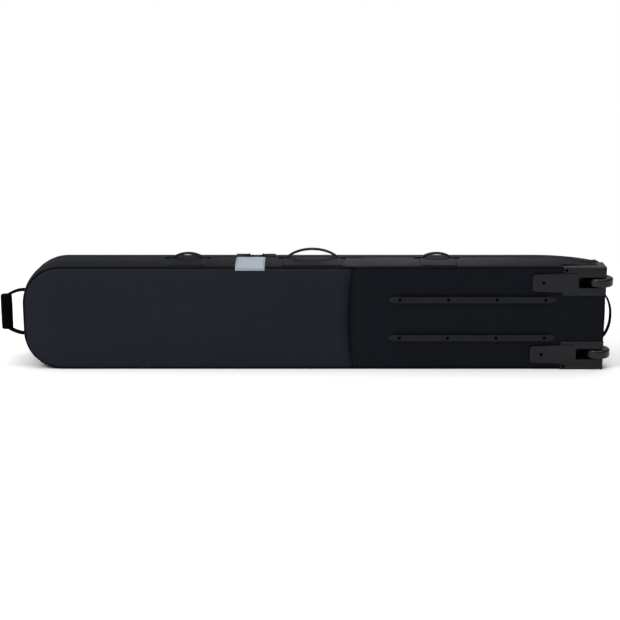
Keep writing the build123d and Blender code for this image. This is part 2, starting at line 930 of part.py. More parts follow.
# Reinforcement patch under each handle, with its two bar-tacked feet
handle_places = (
    ("tip", -handle_spacing, short_loop_span, short_loop_rise),
    ("carry", 0.0, carry_span, carry_rise),
    ("tail", handle_spacing, short_loop_span, short_loop_rise),
)
for place, x_place, span, rise in handle_places:
    x_middle = x_place + carry_shift
    with BuildPart() as patch:
        slab(
            (x_middle - span / 2 - patch_margin, x_middle + span / 2 + patch_margin),
            (y_back + 2 * seam_inset, y_split - tape_width - cut_over),
            (body_width, z_patch_top),
        )
    finish(patch, f"handle_patch_{place}")
    handle = top_handle(x_middle, span, rise)
    finish(handle, f"handle_{place}")

# ---------------------------------------------------------------- end handles


def end_handle(x_wall, towards, y_middle, span, reach, width, bend):
    """A webbing loop standing out from an end wall, with half-round ends at the swing line."""
    radius = width / 2
    x_swing = x_wall + towards * (radius + body_gap)
    x_outside = x_wall + towards * reach
    x_inside = x_outside - towards * webbing_thickness
    z_high, z_low = mirrored_pair(span / 2)
    z_high_inside, z_low_inside = mirrored_pair(span / 2 - webbing_thickness)
    with BuildPart() as handle:
        with BuildSketch(face_plane(y_middle - radius)) as loop:
            with BuildLine():
                Polyline(
                    (x_wall, z_low),
                    (x_outside, z_low),
                    (x_outside, z_high),
                    (x_wall, z_high),
                    (x_wall, z_high_inside),
                    (x_inside, z_high_inside),
                    (x_inside, z_low_inside),
                    (x_wall, z_low_inside),
                    close=True,
                )
            make_face()
            outwards = Axis((0, 0, 0), (towards, 0, 0))
            fillet(loop.vertices().group_by(outwards)[-2], bend - webbing_thickness)
            fillet(loop.vertices().group_by(outwards)[-1], bend)
        extrude(amount=-width)
        with BuildSketch(Plane.XY.offset(-far / 4)):
            with Locations((x_swing, y_middle)):
                Circle(radius)
            with Locations((x_swing + towards * reach, y_middle)):
                Rectangle(2 * reach, width)
        extrude(amount=far / 2, mode=Mode.INTERSECT)
    return handle


# the tip handle's legs meet the wall where its corners have begun to curve away
leg_beyond_straight = tip_handle_span / 2 - webbing_thickness - (z_mid - tip_corner_radius)
tip_wall_fall = tip_corner_radius - sqrt(tip_corner_radius**2 - leg_beyond_straight**2)
handle_tip_end = end_handle(
    x_tip + tip_wall_fall,
    -1,
    tip_handle_y,
    tip_handle_span,
    tip_handle_reach + tip_wall_fall,
    webbing_width,
    (tip_handle_span - tip_grip_length) / 2 - body_gap,
)
finish(handle_tip_end, "handle_tip_end")

# Padded grip wrapped round the tip handle
x_grip = x_tip - tip_handle_reach + webbing_thickness / 2
with BuildPart() as tip_grip:
    with BuildSketch(Plane.XY.offset(z_mid - tip_grip_length / 2)):
        with Locations((x_grip, tip_handle_y)):
            RectangleRounded(tip_grip_depth, tip_grip_width, tip_grip_depth / 3)
            Rectangle(
                webbing_thickness + 2 * tip_grip_clearance,
                webbing_width + 2 * tip_grip_clearance,
                mode=Mode.SUBTRACT,
            )
    extrude(amount=tip_grip_length)
finish(tip_grip, "tip_grip")

handle_tail_end = end_handle(
    x_tail,
    1,
    tail_handle_y,
    tail_handle_span,
    tail_handle_reach,
    tail_handle_width,
    tail_handle_reach - tail_handle_width / 2 - body_gap,
)
finish(handle_tail_end, "handle_tail_end")

# ---------------------------------------------------------------- trim

# Reflective patch that folds over the top seam
with BuildPart() as contrast_patch:
    slab(
        (contrast_x, contrast_x + contrast_length),
        (y_back - patch_thickness, y_split - tape_width - cut_over),
        (body_width, body_width + patch_thickness),
    )
    slab(
        (contrast_x, contrast_x + contrast_length),
        (y_back - patch_thickness, y_back),
        (body_width - 2 * seam_inset, body_width + patch_thickness),
    )
finish(contrast_patch, "contrast_patch")

# Tie-down straps across the inside of the back, each with a ladder buckle
y_strap = y_back + panel_thickness + seam_gap
with BuildPart() as tie_straps:
    for x_strap in strap_places:
        slab(
            (x_strap - strap_width / 2, x_strap + strap_width / 2),
            (y_strap, y_strap + strap_thickness),
            (gusset_thickness + strap_end_gap, body_width - gusset_thickness - strap_end_gap),
        )
finish(tie_straps, "tie_straps")

with BuildPart() as tie_buckles:
    for x_strap in strap_places:
        y_buckle = y_strap + strap_thickness + seam_gap
        slab(
            (x_strap - strap_width / 2 - buckle_side, x_strap + strap_width / 2 + buckle_side),
            (y_buckle, y_buckle + buckle_thickness),
            (z_mid - buckle_length / 2, z_mid + buckle_length / 2),
        )
        slot_half_length = strap_width / 2 + buckle_slot_clearance
        for z_slot in (z_mid - buckle_slot_pitch, z_mid, z_mid + buckle_slot_pitch):
            slab(
                (x_strap - slot_half_length, x_strap + slot_half_length),
                (y_buckle - cut_over, y_buckle + buckle_thickness + cut_over),
                (z_slot - buckle_slot / 2, z_slot + buckle_slot / 2),
                Mode.SUBTRACT,
            )
finish(tie_buckles, "tie_buckles")
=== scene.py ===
"""Looks of the wheeled snowboard bag: cloth shell, webbing, zip, skid rails, housings and wheels."""
import math

import bmesh
import bpy
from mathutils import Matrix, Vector, noise


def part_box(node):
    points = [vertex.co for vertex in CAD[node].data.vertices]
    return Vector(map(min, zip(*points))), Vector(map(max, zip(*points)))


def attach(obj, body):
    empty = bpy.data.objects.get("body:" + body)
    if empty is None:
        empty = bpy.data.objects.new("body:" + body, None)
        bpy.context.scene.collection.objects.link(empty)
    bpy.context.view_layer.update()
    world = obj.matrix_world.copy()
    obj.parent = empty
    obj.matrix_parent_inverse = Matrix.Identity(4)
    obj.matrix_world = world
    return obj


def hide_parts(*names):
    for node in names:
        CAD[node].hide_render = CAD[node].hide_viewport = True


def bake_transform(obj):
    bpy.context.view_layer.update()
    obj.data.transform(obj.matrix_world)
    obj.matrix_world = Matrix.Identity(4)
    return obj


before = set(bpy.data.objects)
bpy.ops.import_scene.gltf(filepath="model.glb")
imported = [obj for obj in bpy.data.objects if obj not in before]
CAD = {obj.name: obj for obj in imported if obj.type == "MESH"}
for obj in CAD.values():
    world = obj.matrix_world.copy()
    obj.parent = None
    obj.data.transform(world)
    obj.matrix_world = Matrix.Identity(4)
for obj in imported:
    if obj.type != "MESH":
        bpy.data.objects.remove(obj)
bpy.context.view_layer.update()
MM = 0.001

# ------------------------------------------------------------------ places and sizes, in metres
x_tip, x_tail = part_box("back_piping")[0].x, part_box("back_piping")[1].x
y_back, y_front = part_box("back_piping")[0].y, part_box("lid_panel")[1].y
z_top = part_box("back_piping")[1].z
z_mid = z_top / 2
x_tip_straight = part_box("gusset_tip")[1].x
tip_radius = x_tip_straight - x_tip
tail_radius = z_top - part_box("gusset_top")[0].z
x_crease = (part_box("crease_piping")[0].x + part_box("crease_piping")[1].x) / 2
bead = (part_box("crease_piping")[1].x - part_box("crease_piping")[0].x) / 2
x_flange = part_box("housing_screws")[1].x - 0.014  # the flange starts just inside the corner screws
flange_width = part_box("wheel_housing_lower")[1].z
wrap_depth = 0.0242  # how far a housing wraps round onto the gusset
end_wall_depth = 0.0675
taper_length = 0.190  # the front curves in to the end wall over this length
lip_depth = 0.035
lid_end_angle = math.radians(50)  # where the lid stops on that curve
body_gap = 0.0004
cloth_thickness = 0.003
x_taper = x_tail - taper_length
taper_drop = (y_front - y_back) - end_wall_depth
taper_radius = (taper_length**2 + taper_drop**2) / (2 * taper_drop)
y_taper_centre = y_front - taper_radius
y_end_wall = y_back + end_wall_depth
y_split = y_front - lip_depth
split_radius = taper_radius - lip_depth
seam = 2 * bead
panel_edge = 0.0042  # a panel's cut edge lies this far inside the outline, under the piping
panel_loft = 0.006  # thickness of a padded panel
crown_height = 0.006  # how far the load swells the top gusset
webbing_thickness = 0.002
loop_thickness = 0.0034  # webbing with its edges folded in
grab_thickness = 0.0065  # webbing doubled over a core
strap_thickness = 0.005
foot_length = 0.026  # sewn-down end of a handle
foot_lift = 0.0028
slack_share = 0.16  # share of its height added to each loop, less the crown under it
zip_foot = 0.034  # height at which both ends of the zip stop
tape_width = 0.012
coil_width = 0.004
tooth_radius = 0.00085
hem = 0.004  # from a patch's edge to its stitches


# ------------------------------------------------------------------ materials
WAVE_LENGTH = math.pi / 10  # one band of a wave texture at a scale of 1
YARN_SLUB = 11.1 * MM  # thick places in the yarn, about 10 mm long
DYE_PATCH = 167 * MM  # uneven dye across the cloth
SCUFF = 45.5 * MM  # rubbed places on a moulding
POLISH = 3.85 * MM  # marks of the polishing drum


def srgb(text):
    """A hex colour as linear RGBA."""
    channels = [int(text[k : k + 2], 16) / 255 for k in (0, 2, 4)]
    return [c / 12.92 if c <= 0.04045 else ((c + 0.055) / 1.055) ** 2.4 for c in channels] + [1.0]


def put(tree, kind, inputs, **settings):
    """Adds a node with its settings and links."""
    node = tree.nodes.new(kind)
    for name, value in settings.items():
        setattr(node, name, value)
    for socket, value in inputs.items():
        if isinstance(value, bpy.types.NodeSocket):
            tree.links.new(value, node.inputs[socket])
        else:
            node.inputs[socket].default_value = value
    return node


def start(name, **sockets):
    """A new material with its shader's own sockets set."""
    material = bpy.data.materials.new(name)
    material.use_nodes = True
    tree = material.node_tree
    shader = tree.nodes["Principled BSDF"]
    for socket, value in sockets.items():
        shader.inputs[socket.replace("_", " ")].default_value = value
    return material, tree, shader


def dyed(tree, shader, share, dark, light):
    """Colours the surface between two shades, by a share from 0 to 1."""
    shades = {0: share, 6: srgb(dark), 7: srgb(light)}
    dye = put(tree, "ShaderNodeMix", shades, data_type="RGBA")
    tree.links.new(dye.outputs[2], shader.inputs["Base Color"])


def raised(tree, shader, height, relief, strength):
    """Raises the surface by a pattern's height."""
    bump = put(tree, "ShaderNodeBump", {"Height": height, "Distance": relief, "Strength": strength})
    tree.links.new(bump.outputs["Normal"], shader.inputs["Normal"])


def woven(name, dark, light, thread, roughness, relief, sheen, gloss=0.12):
    """Woven cloth: raised warp and weft threads, uneven dye, and painted shade where the threads dip."""
    material, tree, shader = start(
        name, Roughness=roughness, Sheen_Weight=sheen, Sheen_Roughness=0.45, Specular_IOR_Level=gloss
    )
    shader.inputs["Sheen Tint"].default_value = srgb("8a8f9c")
    place = put(tree, "ShaderNodeTexCoord", {})
    cloth, solid = place.outputs["UV"], place.outputs["Object"]
    band = WAVE_LENGTH / thread
    warp = put(tree, "ShaderNodeTexWave", {"Vector": cloth, "Scale": band}, bands_direction="X")
    weft = put(tree, "ShaderNodeTexWave", {"Vector": cloth, "Scale": band}, bands_direction="Y")
    crossing = {0: warp.outputs["Fac"], 1: weft.outputs["Fac"]}
    cross = put(tree, "ShaderNodeMath", crossing, operation="MULTIPLY")
    yarn = put(tree, "ShaderNodeTexNoise", {"Vector": solid, "Scale": 1 / YARN_SLUB, "Detail": 4.0})
    lot = put(tree, "ShaderNodeTexNoise", {"Vector": solid, "Scale": 1 / DYE_PATCH, "Detail": 3.0})
    # The yarn and dye noise are the cloth's own uneven tone; the weave's crossing adds painted shade, darker
    # where the threads dip.
    dye_and_weave_shade = {0: yarn.outputs["Fac"], 1: lot.outputs["Fac"], 2: cross.outputs[0]}
    blend = put(tree, "ShaderNodeMath", dye_and_weave_shade, operation="MULTIPLY_ADD")
    spread = put(tree, "ShaderNodeMapRange", {"Value": blend.outputs[0], "From Min": 0.15, "From Max": 1.0})
    dyed(tree, shader, spread.outputs["Result"], dark, light)
    raised(tree, shader, cross.outputs[0], relief, 0.6)
    return material


def moulded(name, dark, light, grain, roughness, relief, gloss=0.3, ior=1.49):
    """Moulded plastic: the fine grain of an eroded tool, and paler scuffed patches at random."""
    material, tree, shader = start(name, Roughness=roughness, IOR=ior, Specular_IOR_Level=gloss)
    solid = put(tree, "ShaderNodeTexCoord", {}).outputs["Object"]
    pits = put(tree, "ShaderNodeTexNoise", {"Vector": solid, "Scale": 1 / grain, "Detail": 5.0})
    scuff = put(tree, "ShaderNodeTexNoise", {"Vector": solid, "Scale": 1 / SCUFF, "Detail": 6.0})
    dyed(tree, shader, scuff.outputs["Fac"], dark, light)
    raised(tree, shader, pits.outputs["Fac"], relief, 0.5)
    return material


def metal(name, dark, light, roughness):
    """Plated, painted or blackened metal with uneven polish."""
    material, tree, shader = start(name, Roughness=roughness, Metallic=1.0)
    solid = put(tree, "ShaderNodeTexCoord", {}).outputs["Object"]
    wear = put(tree, "ShaderNodeTexNoise", {"Vector": solid, "Scale": 1 / POLISH, "Detail": 4.0})
    dyed(tree, shader, wear.outputs["Fac"], dark, light)
    return material


# Polyester woven of heavy yarn and coated inside: a matt blue-black with a fine check of shadows.
# The threads lie 0.6 mm apart and are drawn three times as coarse, so that they show.
back_cloth = woven(
    "ballistic_polyester", "0e1219", "1b1f28",
    thread=1.8 * MM, roughness=0.6, relief=0.25 * MM, sheen=0.01, gloss=0.10,
)
# Nylon woven tight and coated outside: darker and smoother than the padded cloth, with little shine.
# Its 0.4 mm threads are drawn at 1.4 mm, so that they show.
board_cloth = woven(
    "coated_nylon", "05080d", "0e121a",
    thread=1.4 * MM, roughness=0.52, relief=0.15 * MM, sheen=0.005, gloss=0.07,
)
# The same heavy polyester in one layer: it catches a soft light along the crown of the gusset.
# Drawn three times as coarse as woven.
gusset_cloth = woven(
    "gusset_polyester", "090a0f", "12141a",
    thread=1.8 * MM, roughness=0.5, relief=0.25 * MM, sheen=0.01, gloss=0.05,
)
# Taffeta, plain woven of thin flat yarn: a paler, dull grey inside the bag.
# Its 0.2 mm threads are drawn at 1.2 mm.
lining = woven(
    "lining_taffeta", "24262c", "303239",
    thread=1.2 * MM, roughness=0.7, relief=0.1 * MM, sheen=0.04,
)
# Nylon yarn woven into narrow webbing and dyed black: deep black, with ribs that swallow the light.
# Its 1.1 mm ribs are drawn twice as coarse.
webbing_cloth = woven(
    "nylon_webbing", "020203", "07070a",
    thread=2.2 * MM, roughness=0.7, relief=0.4 * MM, sheen=0.01, gloss=0.02,
)
# Soft webbing with its edges folded in: dark grey, a shade paler than plain webbing.
# Its 1.1 mm ribs are drawn twice as coarse.
loop_cloth = woven(
    "padded_webbing", "090a0e", "12131a",
    thread=2.2 * MM, roughness=0.6, relief=0.4 * MM, sheen=0.01, gloss=0.06,
)
# Polyester knitted into tape: flat black without shine, so that the coil stands out from it.
# Its 0.5 mm loops are drawn twice as coarse.
tape_cloth = woven(
    "zip_tape", "0a0a0c", "141417",
    thread=1.0 * MM, roughness=0.8, relief=0.1 * MM, sheen=0.02,
)
# Cloth faced with glass beads: a pale, cool grey that throws the light straight back, an even band.
# Its 0.4 mm weave is drawn four times as coarse.
contrast_cloth = woven(
    "reflective_cloth", "808790", "99a0aa",
    thread=1.6 * MM, roughness=0.5, relief=0.15 * MM, sheen=0.1,
)
# Foam rubber faced with knitted nylon: near black, soft, with no highlight at all.
# Its 0.4 mm knit is drawn three times as coarse.
grip_cloth = woven(
    "knit_faced_foam_rubber", "020203", "060608",
    thread=1.2 * MM, roughness=0.8, relief=0.2 * MM, sheen=0.01, gloss=0.02,
)
# Foam laminated to a brushed knit: soft dark grey without any gleam.
# Its 0.8 mm knit is drawn three times as coarse.
foam_cloth = woven(
    "laminated_foam", "1d1e22", "2a2b30",
    thread=2.4 * MM, roughness=0.9, relief=0.2 * MM, sheen=0.05,
)
# Vinyl extruded over a cord: a thin black line round each seam, with a faint gleam on its round.
# All moulding grain below is really 0.1 to 0.3 mm and is drawn coarser, so that it shows.
piping_skin = moulded(
    "vinyl_piping", "020203", "060607",
    grain=0.6 * MM, roughness=0.6, relief=0.05 * MM, gloss=0.05,
)
# Coated cloth folded round the cord at the crease: a thin grey line beside the dark fold.
edge_cloth = moulded(
    "piping_cloth", "0b0c10", "15171c",
    grain=0.6 * MM, roughness=0.6, relief=0.05 * MM, gloss=0.08,
)
# Nylon thread, twisted and bonded: slightly paler than the cloth, so that stitches read as dashes.
thread = moulded("bonded_thread", "1c1c20", "2b2b30", grain=0.5 * MM, roughness=0.6, relief=0.05 * MM)
# Polyethylene moulded in an eroded tool: waxy charcoal with a soft, even sheen.
rail_plastic = moulded(
    "moulded_polyethylene", "06070a", "0f1014",
    grain=1.5 * MM, roughness=0.28, relief=0.12 * MM, gloss=0.16,
)
# Polypropylene moulded in an eroded tool: satin charcoal, its rims a little brighter.
housing_plastic = moulded(
    "moulded_polypropylene", "07080b", "101217",
    grain=1.5 * MM, roughness=0.28, relief=0.12 * MM, gloss=0.22,
)
# Polypropylene extruded as sheet: plain dark grey with a dull, even face.
board_plastic = moulded(
    "extruded_board", "101114", "18191c",
    grain=2.0 * MM, roughness=0.5, relief=0.1 * MM,
)
# Acetal, moulded: slippery black with small clear highlights.
buckle_plastic = moulded("acetal", "0b0b0d", "131316", grain=0.8 * MM, roughness=0.35, relief=0.04 * MM)
# Nylon filled with glass fibre, moulded: dark grey, with crisp highlights on its rims.
hub_plastic = moulded(
    "glass_filled_nylon", "0b0c0f", "16171b",
    grain=0.8 * MM, roughness=0.3, relief=0.05 * MM,
)
# Polyurethane cast in a polished mould: glossy black that mirrors the light along its shoulder.
tyre_rubber = moulded(
    "cast_urethane", "030304", "09090b",
    grain=1.2 * MM, roughness=0.2, relief=0.06 * MM, gloss=0.3, ior=1.5,
)
# Soft moulded rubber: matt black tabs.
pull_rubber = moulded(
    "moulded_rubber", "0c0c0e", "161619",
    grain=0.8 * MM, roughness=0.6, relief=0.05 * MM, gloss=0.25, ior=1.52,
)
# Nylon wire wound hot into a coil: rows of tiny smooth beads, each with its own glint.
coil_nylon = moulded(
    "nylon_coil", "0a0a0c", "141417",
    grain=0.5 * MM, roughness=0.35, relief=0.03 * MM, gloss=0.3, ior=1.53,
)
# Zinc, die cast and painted: near black, with glints on its edges.
slider_metal = metal("painted_zinc", "0e0e10", "17171a", roughness=0.45)
# Steel, turned and zinc plated: bright silver grey, slightly blurred.
plated_steel = metal("zinc_plated_steel", "8b8e92", "b0b3b7", roughness=0.32)
# Steel blackened in hot salts: screw heads that read as dark dots.
black_steel = metal("blackened_steel", "060607", "0c0c0e", roughness=0.6)


# ------------------------------------------------------------------ mesh making
def link(name, mesh, materials, body="bag", nodes=()):
    """Puts a finished mesh in the scene, on its body and in place of its CAD nodes."""
    piece = bpy.data.objects.new(name, mesh)
    bpy.context.collection.objects.link(piece)
    for material in materials:
        mesh.materials.append(material)
    mesh.polygons.foreach_set("use_smooth", [True] * len(mesh.polygons))
    if body:
        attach(piece, body)
    if nodes:
        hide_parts(*nodes)
    return piece


def sheet_mesh(name, rows, around=False):
    """A quad sheet through rows of points, with its cloth lengths as UV in metres."""
    mesh = bpy.data.meshes.new(name)
    across = len(rows[0])
    points = [point for row in rows for point in row]
    faces = []
    turns = across if around else across - 1
    for r in range(len(rows) - 1):
        for c in range(turns):
            d = (c + 1) % across
            faces.append((r * across + c, r * across + d, (r + 1) * across + d, (r + 1) * across + c))
    mesh.from_pydata(points, [], faces)
    layer = mesh.uv_layers.new(name="cloth")
    along = [0.0]
    middle = across // 2
    for r in range(1, len(rows)):
        along.append(along[-1] + (Vector(rows[r][middle]) - Vector(rows[r - 1][middle])).length)
    sideways = []
    for row in rows:
        run = [0.0]
        for c in range(1, across):
            run.append(run[-1] + (Vector(row[c]) - Vector(row[c - 1])).length)
        run.append(run[-1] + (Vector(row[0]) - Vector(row[-1])).length)
        sideways.append([value - run[middle] for value in run])
    loop = 0
    for r in range(len(rows) - 1):
        for c in range(turns):
            for rr, cc in ((r, c), (r, c + 1), (r + 1, c + 1), (r + 1, c)):
                layer.data[loop].uv = (along[rr], sideways[rr][cc])
                loop += 1
    return mesh


def thicken(piece, thickness, inner=0, shows_outside=True):
    """Gives a sheet its thickness behind the side that shows, with the back in the next material."""
    middle = Vector((0, 0, z_mid))
    mesh = piece.data
    facing = sum(face.area * face.normal.dot(face.center - middle) for face in mesh.polygons)
    if (facing > 0) != shows_outside:
        mesh.flip_normals()
    skin = piece.modifiers.new("thickness", "SOLIDIFY")
    skin.thickness, skin.offset, skin.use_even_offset = thickness, -1.0, False
    skin.material_offset = inner
    skin.material_offset_rim = 0


def spaced(low, high, step):
    """Even values from low to high, about a step apart."""
    count = max(1, round(abs(high - low) / step))
    return [low + (high - low) * k / count for k in range(count + 1)]


def tube_mesh(name, path, radius, sides):
    """A round tube along a list of points, closed at both ends."""
    path = [Vector(p) for p in path]
    turns = [2 * math.pi * s / sides for s in range(sides)]
    rows = []
    side = None
    for k, point in enumerate(path):
        run = (path[min(k + 1, len(path) - 1)] - path[max(k - 1, 0)]).normalized()
        if side is None:
            side = run.orthogonal().normalized()
        side = (side - run * side.dot(run)).normalized()
        other = run.cross(side)
        rows.append([point + radius * (math.cos(a) * side + math.sin(a) * other) for a in turns])
    mesh = sheet_mesh(name, rows, around=True)
    body = bmesh.new()
    body.from_mesh(mesh)
    bmesh.ops.contextual_create(body, geom=[e for e in body.edges if e.is_boundary])
    body.to_mesh(mesh)
    body.free()
    return mesh


def half_height(x, inset):
    """Half the height of the side outline at x, with every edge moved in by inset."""
    half = z_mid - inset
    for x_corner, side, radius in ((x_tip_straight, -1, tip_radius), (x_tail - tail_radius, 1, tail_radius)):
        over = (x - x_corner) * side
        if over > 0:
            reach = radius - inset
            return half - reach + math.sqrt(max(reach**2 - over**2, 0.0))
    return half


def edge_distance(x, z):
    """How far a point of a side panel lies inside the outline."""
    height = abs(z - z_mid)
    if x < x_tip_straight and height > z_mid - tip_radius:
        return tip_radius - math.hypot(x_tip_straight - x, height - (z_mid - tip_radius))
    return max(min(x - x_tip, z_mid - height), 0.0)


def folds(x, z, size, seed):
    """Soft uneven folds, from about -1.5 to 1.5."""
    return noise.noise(Vector((x / size, z / size, seed))) + 0.5 * noise.noise(
        Vector((2.3 * x / size, 2.1 * z / size, seed + 7))
    )


# ------------------------------------------------------------------ back panels
def soft_panel_depth(x, z):
    """How far the padded back panel stands out of the seam plane."""
    seam_pull, crease_pull, tuck_pull = 0.016, 0.012, 0.010  # how soon the padding fills out
    loft, belly_depth, shoulder_depth, tuck_depth = 0.0045, 0.0075, 0.0030, 0.0060
    fold_depth, crease_fold_depth = 0.0011, 0.0012
    tip_reach, crease_reach, foot_reach = 0.15, 0.22, 0.10  # how far each end disturbs the cloth
    from_crease = max(x_crease - 0.004 - x, 0.0)
    near = edge_distance(x, z)
    pillow = (1 - math.exp(-near / seam_pull)) * (1 - math.exp(-from_crease / crease_pull))
    tuck = tuck_depth * math.exp(-from_crease / tuck_pull)
    height = (z - z_mid) / z_mid
    along = min(1.0, (x - x_tip) / tip_reach)
    belly = belly_depth * (1 - height**2) * math.sqrt(max(along, 0.0))
    to_crease = max(0.0, 1 - from_crease / crease_reach)
    shoulder = shoulder_depth * to_crease * (1 - height**4)
    low = max(0.0, 1 - z / foot_reach)
    wrinkle = fold_depth * folds(x, z, 0.12, 3.0)
    gathered = crease_fold_depth * to_crease * folds(1.6 * x + z, 0.4 * z, 0.045, 21.0)
    diagonal = crease_fold_depth * math.sin((0.8 * x + 1.3 * z) / 0.011) * to_crease * low
    return pillow * (loft + belly + shoulder + wrinkle + gathered + diagonal) - tuck


def tip_back_panel():
    """The padded half, its free edge bowed in at the crease."""
    bow, bow_reach = 0.017, 0.12  # the free edge's curve, and how far in the rows follow it
    rows = []
    for x_row in spaced(x_tip + panel_edge, x_crease - bead * 0.6, 0.006):
        half = half_height(x_row, panel_edge)
        row = []
        for v in spaced(-1, 1, 2 / 52):
            z = z_mid + half * v
            x = x_row - bow * (1 - v**2) ** 0.7 * max(0.0, 1 - (x_crease - x_row) / bow_reach)
            row.append((x, y_back + bead * 0.9 - soft_panel_depth(x_row, z), z))
        rows.append(row)
    piece = link(
        "soft_back_panel", sheet_mesh("soft_back_panel", rows), [back_cloth, lining],
        nodes=("back_panel_soft",),
    )
    thicken(piece, panel_loft, 1)


def wheel_back_panel():
    """The back panel over the stiff board, stepped in between the two housings."""
    x_step = x_flange + 0.015
    tongue = z_mid - flange_width + 0.003
    stand_in, loft, most_lift = 0.0016, 0.0016, 0.0026
    gully_depth, gully_width, under_flap = 0.0080, 0.022, 0.016
    calm_reach, foot_reach, pull_depth, fold_depth = 0.12, 0.09, 0.0022, 0.0010
    rows = []
    stations = spaced(x_crease - 0.034, x_step, 0.006)
    stations += spaced(x_step + 0.0002, x_tail - panel_edge, 0.008)
    for x in stations:
        half = half_height(x, panel_edge) if x <= x_step else tongue
        row = []
        for v in spaced(-1, 1, 2 / 40):
            z = z_mid + half * v
            near = min(edge_distance(x, z), max(x - x_crease + 0.010, 0.0))
            past = max(x - x_crease, 0.0)
            pillow = 1 - math.exp(-near / 0.010)
            calm = max(0.0, 1 - past / calm_reach)
            corner = calm * max(0.0, 1 - z / foot_reach)
            pulled = pull_depth * corner * math.sin((x - x_crease - 0.9 * z) / 0.0085) * (past > 0)
            gully = gully_depth * min(1.5, max(0.0, 1 - (x - x_crease + under_flap) / gully_width))
            lift = loft * pillow + fold_depth * calm * folds(x, z, 0.09, 9.0) * pillow
            row.append((x, y_back + stand_in + gully - min(lift, most_lift) - pulled * pillow, z))
        rows.append(row)
    piece = link(
        "stiff_back_panel", sheet_mesh("stiff_back_panel", rows), [board_cloth, lining],
        nodes=("back_panel_stiff",),
    )
    thicken(piece, 0.0022, 1)


tip_back_panel()
wheel_back_panel()


# ------------------------------------------------------------------ gussets
def zip_edge(x):
    """Depth of the bag's own edge along the top, at x."""
    x_arc_end = x_taper + split_radius * math.sin(lid_end_angle)
    x_outer_end = x_taper + taper_radius * math.sin(lid_end_angle)
    if x <= x_taper:
        return y_split
    if x <= x_arc_end:
        return y_taper_centre + math.sqrt(split_radius**2 - (x - x_taper) ** 2)
    y_arc_end = y_taper_centre + split_radius * math.cos(lid_end_angle)
    if x <= x_outer_end:
        return y_arc_end + (x - x_arc_end) / math.tan(lid_end_angle)
    return y_taper_centre + math.sqrt(taper_radius**2 - (x - x_taper) ** 2)


def seam_edge(x):
    """Depth of the gusset's edge at the back seam or at the housing's wrap."""
    if x > x_tail - tail_radius:
        return y_end_wall + 0.0003
    if x > x_flange:
        return y_back + wrap_depth
    return y_back + seam * 0.8


def crown(x, y):
    """Height of the top gusset over its seams: swollen by the load, slack at the wheel end."""
    low, high = y_back + seam * 0.8, y_split
    if not low < y < high:
        return 0.0
    slack_length, crease_width, fold_depth = 0.12, 0.03, 0.0009
    across = math.sin(math.pi * (y - low) / (high - low)) ** 0.8
    ends = min(1.0, max(0.0, (x_tail - 0.02 - x) / slack_length))
    crease = 1 - 0.7 * math.exp(-(((x - x_crease) / crease_width) ** 2))
    return (crown_height * crease + fold_depth * folds(x, 2.0 * y, 0.12, 5.0)) * across * ends


def tip_turns(z_sign, step):
    """Points and outward directions round one tip corner, from the straight to the end wall."""
    z_centre = z_mid + z_sign * (z_mid - tip_radius)
    places = []
    for turn in spaced(0, math.pi / 2, step / tip_radius):
        nx, nz = -math.sin(turn), z_sign * math.cos(turn)
        places.append((x_tip_straight + tip_radius * nx, z_centre + tip_radius * nz, nx, nz))
    return places


def side_gusset():
    """Top gusset, rounded tip and its lower corner, as one strip of cloth behind the zip."""
    stations = []
    for x in spaced(x_tail - 0.0008, x_tail - tail_radius + 0.0004, 0.004):
        turn = math.asin(min(1.0, (x - x_tail + tail_radius) / tail_radius))
        z = z_top - tail_radius + tail_radius * math.cos(turn)
        stations.append((x, z, math.sin(turn), math.cos(turn)))
    for x in spaced(x_tail - tail_radius - 0.0002, x_flange + 0.0002, 0.007):
        stations.append((x, z_top, 0.0, 1.0))
    for x in spaced(x_flange - 0.0002, x_tip_straight + 0.001, 0.008):
        stations.append((x, z_top, 0.0, 1.0))
    stations += tip_turns(1, 0.008)
    for z in spaced(z_top - tip_radius - 0.006, tip_radius + 0.006, 0.008):
        stations.append((x_tip, z, -1.0, 0.0))
    stations += list(reversed(tip_turns(-1, 0.008)))
    rows = []
    for x, z, nx, nz in stations:
        low, high = seam_edge(x), zip_edge(x) - body_gap
        row = []
        for y in spaced(low, high, (high - low) / 16):
            lift = crown(max(x, x_tip_straight) if nz < 0.999 else x, y) if nz > -0.2 else 0.0
            if nz < 0.999 and x < 0:
                lift *= max(0.0, min(1.0, 0.6 + nz))
            row.append((x + nx * lift, y, z + nz * lift))
        rows.append(row)
    piece = link(
        "side_gusset", sheet_mesh("side_gusset", rows), [gusset_cloth, lining],
        nodes=("gusset_top", "gusset_tip"),
    )
    thicken(piece, cloth_thickness, 1)


def front_edge(x, inset):
    """Depth of the front seam at x."""
    if x <= x_taper:
        return y_front - inset
    radius = taper_radius - inset
    return y_taper_centre + math.sqrt(max(radius**2 - (x - x_taper) ** 2, 0.0))


def bottom_gusset():
    """The gusset the bag stands on, pressed almost flat by its weight."""
    rows = []
    ripple = 0.0004
    stations = spaced(x_tip_straight + 0.0005, x_flange - 0.0002, 0.010) + spaced(
        x_flange + 0.0002, x_tail - tail_radius - 0.0004, 0.008
    )
    for x in stations:
        low, high = seam_edge(x), front_edge(x, seam)
        depths = spaced(low, high, (high - low) / 14)
        rows.append([(x, y, ripple * (1 + folds(x, y, 0.08, 2.0))) for y in depths])
    piece = link(
        "bottom_gusset", sheet_mesh("bottom_gusset", rows), [gusset_cloth, lining],
        nodes=("gusset_bottom",),
    )
    thicken(piece, cloth_thickness, 1)


